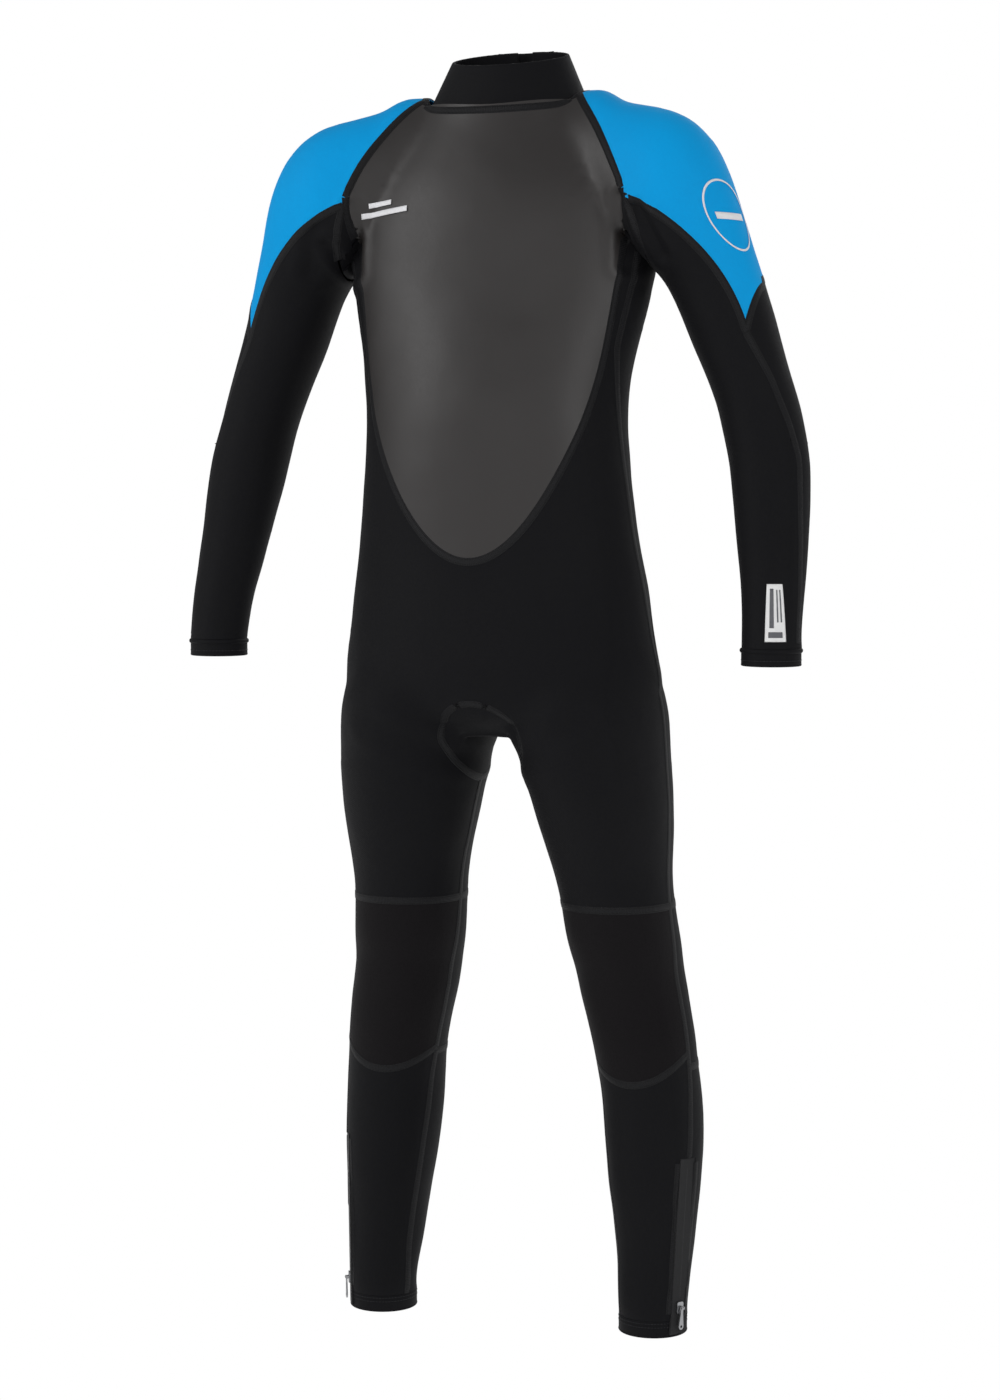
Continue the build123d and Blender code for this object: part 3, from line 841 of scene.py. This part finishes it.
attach(softened("collar_cloth", "collar", 0.0009, 5, black_jersey, "black_jersey"), "suit")
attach(softened("back_flap_cloth", "back_flap", 0.0011, 3, black_jersey, "black_jersey"), "suit")
tab = softened("collar_tab_cloth", "collar_tab", 0.0006, 4, black_jersey, "black_jersey")
tab_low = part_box("collar_tab")[0].z
for vert in tab.data.vertices:
    vert.co.z += TAB_STRETCH * (vert.co.z - tab_low)
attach(tab, "neck_tab")

# Hook and loop pile: dull and fibrous, drawn coarser than the real pile so that it shows.
hook_loop = surface("hook_and_loop", "#1a1a1d", "#0b0b0c", 0.85, 0.3, 1.4 * MM, 0.6 * MM, "cells")
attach(softened("loop_patch_pile", "collar_loop_patch", 0.0004, 2, hook_loop, "hook_loop"), "suit")
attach(softened("hook_patch_pile", "tab_hook_patch", 0.0004, 2, hook_loop, "hook_loop"), "neck_tab")


def tube(centre, radius, wall, height, middle_z):
    """A short tube with rounded edges."""
    bpy.ops.mesh.primitive_cylinder_add(vertices=96, radius=radius, depth=height, end_fill_type="NOTHING",
                                        location=(centre.x, centre.y, middle_z))
    made = bpy.context.object
    bpy.ops.object.transform_apply(location=True, rotation=True, scale=True)
    apply_modifier(made, "SOLIDIFY", thickness=wall, offset=-1)
    apply_modifier(made, "BEVEL", width=wall * 0.4, segments=3, limit_method="ANGLE")
    return made


def ring(centre, radius, thick, height):
    """A rolled ring."""
    bpy.ops.mesh.primitive_torus_add(major_segments=96, minor_segments=16, major_radius=radius,
                                     minor_radius=thick, location=(centre.x, centre.y, height))
    made = bpy.context.object
    bpy.ops.object.transform_apply(location=True, rotation=True, scale=True)
    return made


def joined(first, *others):
    """Several objects made into one."""
    bpy.ops.object.select_all(action="DESELECT")
    for other in (first, *others):
        other.select_set(True)
    bpy.context.view_layer.objects.active = first
    bpy.ops.object.join()
    bpy.ops.object.select_all(action="DESELECT")
    return first


# Spun polyester: a little lighter and shinier than the jersey it holds.
stitch_thread = surface("polyester_thread", "#2b2b30", "#19191c", 0.45, 0.0, 0.5 * MM, 0.1 * MM, "rows")


STITCH_PITCH = 0.003
STITCH_SIZE = (0.00028, 0.0021 / 2, 0.00032, 1)


def stitches(name, centre, radius, heights):
    """Rows of short stitches round a hem, each a thin rounded bar."""
    count = round(2 * math.pi * radius / STITCH_PITCH)
    bars = bmesh.new()
    for height in heights:
        for i in range(count):
            turn = 2 * math.pi * i / count
            place = (Matrix.Translation(Vector((centre.x, centre.y, height))) @ Matrix.Rotation(turn, 4, "Z")
                     @ Matrix.Translation((radius, 0, 0)) @ Matrix.Diagonal(STITCH_SIZE))
            bmesh.ops.create_icosphere(bars, subdivisions=1, radius=1, matrix=place)
    data = bpy.data.meshes.new(name)
    bars.to_mesh(data)
    bars.free()
    made = bpy.data.objects.new(name, data)
    scene.collection.objects.link(made)
    data.shade_smooth()
    return finish_piece(made, name, stitch_thread, "")


CUFF_WALL = 0.002
CUFF_ROLL = 0.0024
CUFF_LOW_ROLL = 0.0012
HEM_RADIUS = 0.032
HEM_WALL = 0.0022
HEM_ROLL = 0.0013
for side, sign in sides.items():
    lowest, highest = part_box("wrist_cuff_" + side)
    centre = (lowest + highest) / 2
    reach = (highest.x - lowest.x) / 2
    cuff = tube(centre, reach - 0.0012, CUFF_WALL, highest.z - lowest.z - 0.001, centre.z)
    rolled = ring(centre, reach - 0.0022, CUFF_ROLL, highest.z - CUFF_ROLL)
    rolled_low = ring(centre, reach - 0.0022, CUFF_LOW_ROLL, lowest.z + CUFF_LOW_ROLL)
    cuff = joined(cuff, rolled, rolled_low)
    cuff.data.shade_smooth()
    finish_piece(cuff, "wrist_cuff_cloth_" + side, black_jersey, "black_jersey", "wrist_cuff_" + side)
    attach(cuff, "forearm_" + side)
    rows = stitches("wrist_stitches_" + side, centre, reach - 0.0011, [lowest.z + 0.0052])
    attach(rows, "forearm_" + side)
    lowest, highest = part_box("ankle_cuff_" + side)
    centre = Vector((sign * ankle_centre.x, ankle_centre.y, (lowest.z + highest.z) / 2))
    hem = tube(centre, HEM_RADIUS, HEM_WALL, highest.z - lowest.z, centre.z)
    rolled = ring(centre, HEM_RADIUS - 0.001, HEM_ROLL, lowest.z + HEM_ROLL)
    hem = joined(hem, rolled)
    hem.data.shade_smooth()
    finish_piece(hem, "ankle_hem_cloth_" + side, black_jersey, "black_jersey", "ankle_cuff_" + side)
    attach(hem, "shin_" + side)
    rows = stitches("ankle_stitches_" + side, centre, HEM_RADIUS + 0.0001,
                    [lowest.z + 0.010, lowest.z + 0.0135])
    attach(rows, "shin_" + side)

# Zips
# Coil zips on woven tape: the tape is a thin strip with a rounded edge, the coil is a row of bent nylon
# teeth on a core, and the slider, pull and stops are the nodes themselves with metal or moulded plastic on
# them.

# Woven polyester: matt, with fine slanting rows.
zip_tape = surface("woven_polyester_tape", "#17171a", "#0c0c0e", 0.75, 0.1, 0.9 * MM, 0.2 * MM, "rows")
# Nylon monofilament: dark with a smooth gloss.
zip_coil = surface("nylon_coil", "#222226", "#141416", 0.35, 0.0, 0.4 * MM, 0.02 * MM, "rows", specular=0.5)
# Cast zinc: a dull bright metal.
zip_metal = surface("cast_zinc", "#a8a9ab", "#8b8c8f", 0.3, 0.0, 0.3 * MM, 0.01 * MM, "rows", specular=0.6)
metal_shade = next(n for n in zip_metal.node_tree.nodes if n.type == "BSDF_PRINCIPLED")
metal_shade.inputs["Metallic"].default_value = 1.0
# Moulded plastic: dark, half gloss.
pull_plastic = surface("moulded_pull", "#1c1c20", "#121214", 0.4, 0.0, 1.2 * MM, 0.05 * MM, "rows",
                       specular=0.5)


TOOTH_PITCH = 0.0016
TOOTH_HEIGHT = 0.0009
TOOTH_LEAN = 0.28


def teeth(name, axes, lows, highs):
    """A core strip with a row of bent teeth over it."""
    core = block(name, axes, lows + Vector((TOOTH_HEIGHT, 0, 0)),
                 highs - Vector((TOOTH_HEIGHT, TOOTH_HEIGHT, 0)))
    shape = bmesh.new()
    shape.from_mesh(core.data)
    span = highs - lows
    count = int(span.z / TOOTH_PITCH)
    for i in range(count):
        centre = Vector(((lows.x + highs.x) / 2, highs.y - TOOTH_HEIGHT, lows.z + (i + 0.5) * TOOTH_PITCH))
        lean = Matrix.Rotation(TOOTH_LEAN if i % 2 else -TOOTH_LEAN, 4, "Y")
        size = Matrix.Diagonal((span.x / 2 * 0.96, TOOTH_HEIGHT, TOOTH_PITCH * 0.3, 1))
        bmesh.ops.create_uvsphere(shape, u_segments=6, v_segments=4, radius=1,
                                  matrix=axes @ Matrix.Translation(centre) @ lean @ size)
    shape.to_mesh(core.data)
    shape.free()
    core.data.shade_smooth()
    return core


def tape_strip(name, axes, node):
    """A strip of tape with a soft edge, in a tape node's place."""
    strip = block(name, axes, *extent(axes, node))
    apply_modifier(strip, "BEVEL", width=0.0003, segments=2)
    return finish_piece(strip, name, zip_tape, "zip_tape", node)


for where, axes in zips.items():
    end = "" if where == "back" else "_" + where
    stem = "back_zip" if where == "back" else "ankle_zip"
    body = "suit" if where == "back" else "shin_" + where
    for node in ZIP_TAPES[where]:
        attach(tape_strip(node + "_weave", axes, node), body)
    coil_low, coil_high = extent(axes, stem + "_coil" + end)
    coil = teeth(stem + "_teeth" + end, axes, coil_low, coil_high)
    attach(finish_piece(coil, stem + "_teeth" + end, zip_coil, "zip_coil", stem + "_coil" + end), body)

for name, node in nodes.items():
    if not any(kind in name for kind in ("slider", "stops", "pull")):
        continue
    node.data.materials.clear()
    node.data.materials.append(pull_plastic if "back_zip_pull" in name else zip_metal)
    bevel = node.modifiers.new("edges", "BEVEL")
    bevel.width = 0.00025
    bevel.segments = 2

# Prints and label
# A soft white rubber print on the chest and the left sleeve, plain bars and a ring, and a white printed label
# with plain grey lines, all laid on the skin.
# Screen print: a dense, slightly raised white.
print_white = surface("screen_print_white", "#f4f4f6", "#dcdce0", 0.5, 0.0, 0.9 * MM, 0.05 * MM, "cells")
label_white = surface("printed_label", "#f2f2f2", "#e2e2e2", 0.55, 0.0, 0.8 * MM, 0.06 * MM, "rows")
label_grey = surface("label_ink", "#6d6e72", "#55565a", 0.6, 0.0, 0.8 * MM, 0.04 * MM, "rows")


def patch(name, point_at, across, tall, lift, material, slot=""):
    """A thin print on the skin.  point_at gives the start and way of a look at a place on the print."""
    points, faces = [], []
    for j in range(tall + 1):
        for i in range(across + 1):
            start, way = point_at(i / across, j / tall)
            spot, normal, _, _ = skin_tree.ray_cast(start, way)
            normal = normal if normal.dot(way) < 0 else -normal
            points.append(spot + normal * lift)
    for j in range(tall):
        for i in range(across):
            a = j * (across + 1) + i
            faces.append([a, a + 1, a + across + 2, a + across + 1])
    data = bpy.data.meshes.new(name)
    data.from_pydata(points, [], faces)
    data.shade_smooth()
    made = bpy.data.objects.new(name, data)
    scene.collection.objects.link(made)
    if data.polygons[0].normal.dot(point_at(0, 0)[1]) > 0:
        data.flip_normals()
    apply_modifier(made, "SOLIDIFY", thickness=0.0002, offset=1)
    return finish_piece(made, name, material, slot)


def chest_bar(x0, x1, z0, z1, slope):
    """Looks at the chest from the front, over a bar that rises by its slope towards the left."""
    in_front = -0.4
    return lambda u, v: (Vector((x0 + (x1 - x0) * u, in_front, z0 + (z1 - z0) * v + slope * u)),
                         Vector((0, 1, 0)))


CHEST_PRINT_LIFT = 0.0009
chest_print = patch("chest_print", chest_bar(-0.119, -0.070, 1.029, 1.034, 0.005), 24, 3,
                    CHEST_PRINT_LIFT, print_white)
chest_print_top = patch("chest_print_top", chest_bar(-0.112, -0.088, 1.0385, 1.043, 0.0025), 12, 3,
                        CHEST_PRINT_LIFT, print_white)
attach(chest_print, "suit")
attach(chest_print_top, "suit")


def sleeve_spot(turn, height):
    """A look at the left upper sleeve from outside, at a turn from the front and a height."""
    middle = arm_centre(height, 1)
    way = Vector((math.sin(turn), -math.cos(turn), 0))
    return middle + way * 0.12, -way


RING_TURN, RING_HEIGHT, ARM_REACH = math.radians(62), 1.024, 0.052


RING_SQUASH = 0.82
RING_RADIUS, RING_WIDTH = 0.0295, 0.0018
BAR_LENGTH, BAR_WIDTH, BAR_DROP = 0.034, 0.006, 0.004
PRINT_LIFT = 0.0005


def ring_spot(u, v):
    """A look at a place on the sleeve's ring."""
    angle = 2 * math.pi * u
    radius = RING_RADIUS + RING_WIDTH * v
    return sleeve_spot(RING_TURN + radius * RING_SQUASH * math.cos(angle) / ARM_REACH,
                       RING_HEIGHT + radius * math.sin(angle))


def bar_spot(u, v):
    """A look at a place on the bar inside the ring."""
    return sleeve_spot(RING_TURN + (u - 0.5) * BAR_LENGTH / ARM_REACH, RING_HEIGHT - BAR_DROP + BAR_WIDTH * v)


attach(patch("sleeve_ring_print", ring_spot, 64, 2, PRINT_LIFT, print_white), "suit")
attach(patch("sleeve_bar_print", bar_spot, 24, 3, PRINT_LIFT, print_white), "suit")

label_low, label_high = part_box("forearm_label")
label_centre = (label_low + label_high) / 2
label_core = arm_centre(label_centre.z, 1)
label_turn = math.atan2(label_centre.x - label_core.x, -(label_centre.y - label_core.y))
LABEL_REACH = 0.030
LABEL_WIDE, LABEL_TALL = 0.0165, 0.05
LABEL_LIFT, INK_LIFT = 0.0007, 0.00095
# The lines on the label: how far aside and up from its middle each is, and how wide and tall.
LABEL_LINES = [
    (-0.003, 0.004, 0.0035, 0.034),
    (0.002, 0.006, 0.0012, 0.028),
    (0.005, 0.006, 0.0012, 0.028),
    (0.0, -0.019, 0.011, 0.005),
]


def label_spot(u, v, wide, tall, aside=0.0, up=0.0):
    """A look at a place on the label."""
    middle = Vector((label_core.x, label_core.y, label_centre.z + up + (v - 0.5) * tall))
    turn = label_turn + (aside + (u - 0.5) * wide) / LABEL_REACH
    way = Vector((math.sin(turn), -math.cos(turn), 0))
    return middle + way * 0.09, -way


label = patch("forearm_label_print", lambda u, v: label_spot(u, v, LABEL_WIDE, LABEL_TALL), 12, 30,
              LABEL_LIFT, label_white, "label")
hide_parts("forearm_label")
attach(label, "forearm_left")
for number, (aside, up, wide, tall) in enumerate(LABEL_LINES):
    ink = patch(f"label_line_{number}", lambda u, v: label_spot(u, v, wide, tall, aside, up), 4, 12, INK_LIFT,
                label_grey, "label")
    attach(ink, "forearm_left")
